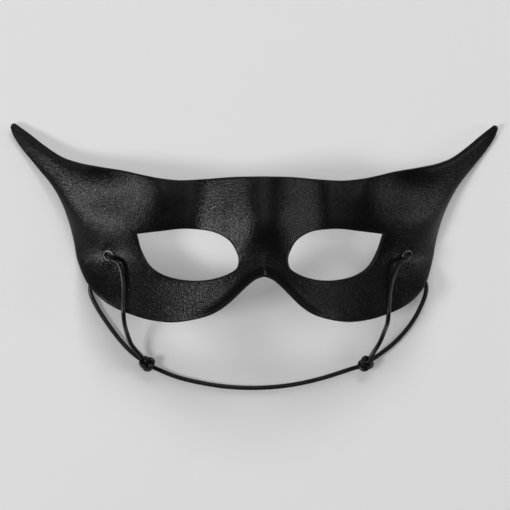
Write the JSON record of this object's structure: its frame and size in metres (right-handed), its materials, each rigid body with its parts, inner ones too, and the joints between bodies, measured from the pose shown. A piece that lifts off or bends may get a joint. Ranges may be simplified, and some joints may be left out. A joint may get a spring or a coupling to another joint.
{
  "type": "leather eye mask",
  "caption": "Black moulded leather half mask with swept horn points, an eyelet at each temple and a thin round cord looped and knotted through them.",
  "frame": {"origin": "middle of the mask's plan box at the level of the table it lies on, face up", "axes": "+X to the right of someone looking at the mask's front, +Y towards its top edge and horns, +Z out of its front"},
  "size_m": [0.2408, 0.1303, 0.0395],
  "materials": {
    "leather": "black dyed, fine pebbled grain with a satin sheen",
    "eyelet": "gloss black",
    "cord": "black, smooth fine braid with a satin sheen"
  },
  "bodies": {
    "root": {"mask": "leather", "eyelet_left": "eyelet", "eyelet_right": "eyelet", "cord": "cord"}
  },
  "joints": []
}
